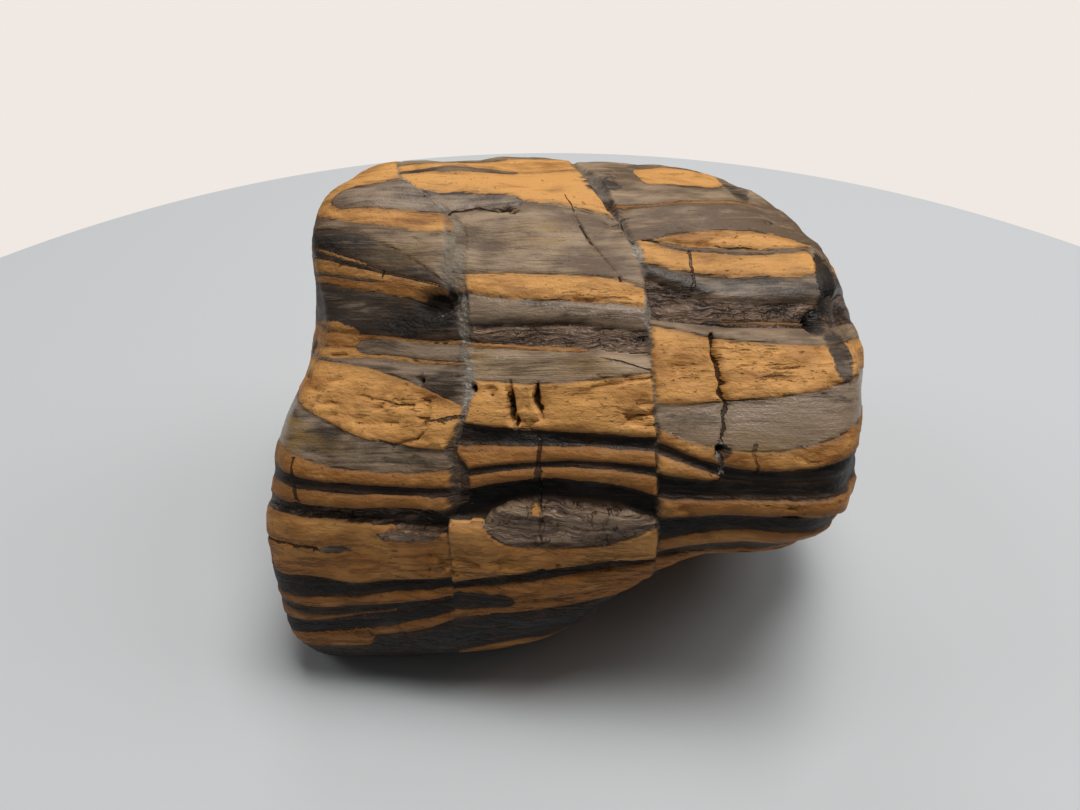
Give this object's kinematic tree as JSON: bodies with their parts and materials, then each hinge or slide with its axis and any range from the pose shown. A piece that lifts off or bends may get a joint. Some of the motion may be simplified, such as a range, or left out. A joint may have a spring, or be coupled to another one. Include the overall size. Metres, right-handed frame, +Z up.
{
  "type": "banded iron formation specimen",
  "caption": "Water-worn, blocky cobble of ochre chert and dark ironstone beds, offset along upright veins, with a flat to rest on.",
  "frame": {"origin": "middle of the bounding box's footprint, on the flat that the stone rests on", "axes": "+X along the strike of the beds, the longest side; +Y to the back, the way the beds dip; +Z up"},
  "size_m": [0.1222, 0.1062, 0.0871],
  "materials": {
    "banded_ironstone": "satin, water-worn, ochre and dark brown beds"
  },
  "bodies": {
    "root": {"stone": "banded_ironstone"}
  },
  "joints": []
}
